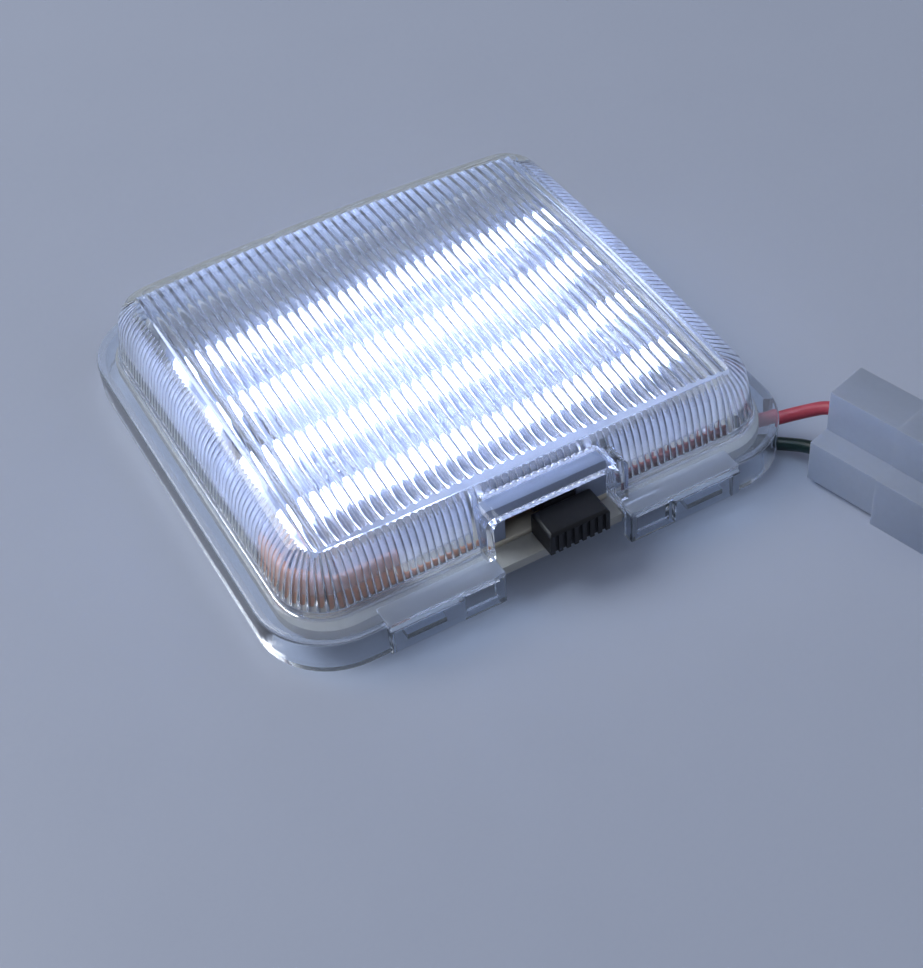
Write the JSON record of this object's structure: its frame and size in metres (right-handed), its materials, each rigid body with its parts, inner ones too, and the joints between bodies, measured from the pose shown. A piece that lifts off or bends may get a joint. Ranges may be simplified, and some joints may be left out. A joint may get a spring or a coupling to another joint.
{
  "type": "car dome light",
  "caption": "Nearly square car interior lamp: clear ribbed clip-on lens over a cream base with LEDs, a slide switch in a front notch and two short leads to a connector.",
  "frame": {"origin": "midway between the two mounting holes, on the mounting face at the back of the base", "axes": "+X along the front edge to the right, +Y from the switch to the back edge, +Z out of the mounting face towards the lens crown"},
  "size_m": [0.1174, 0.1256, 0.0236],
  "materials": {
    "lens": "clear, polished",
    "base": "pale cream, satin",
    "board": "white solder resist",
    "led": "white, lit",
    "resistor": "pale ceramic",
    "steel": "plated",
    "copper": "rolled copper",
    "insulator": "pale pressed fibre",
    "black": "black, satin",
    "nylon": "natural, translucent",
    "red_sleeve": "red",
    "green_sleeve": "dark green"
  },
  "bodies": {
    "lamp": {"lens_cover": "lens", "base_housing": "base", "led_board": "board", "leds": "led", "resistors": "resistor", "board_screws": "steel", "earth_strip": "copper", "earth_link": "steel", "door_strip": "copper", "feed_strip": "steel", "strip_rivets": "steel", "terminal_board": "insulator", "switch_terminals": "copper", "switch_frame": "base", "switch_rivets": "steel", "detent_spring": "steel", "connector_housing": "nylon", "connector_terminals": "copper", "red_wire": "red_sleeve", "green_wire": "green_sleeve"},
    "switch_slider": {"switch_knob": "black", "slider_contact": "copper"}
  },
  "joints": [
    {"name": "switch_slide", "type": "slide", "parent": "lamp", "child": "switch_slider", "axis": [1, 0, 0], "range_m": [-0.007, 0]}
  ]
}
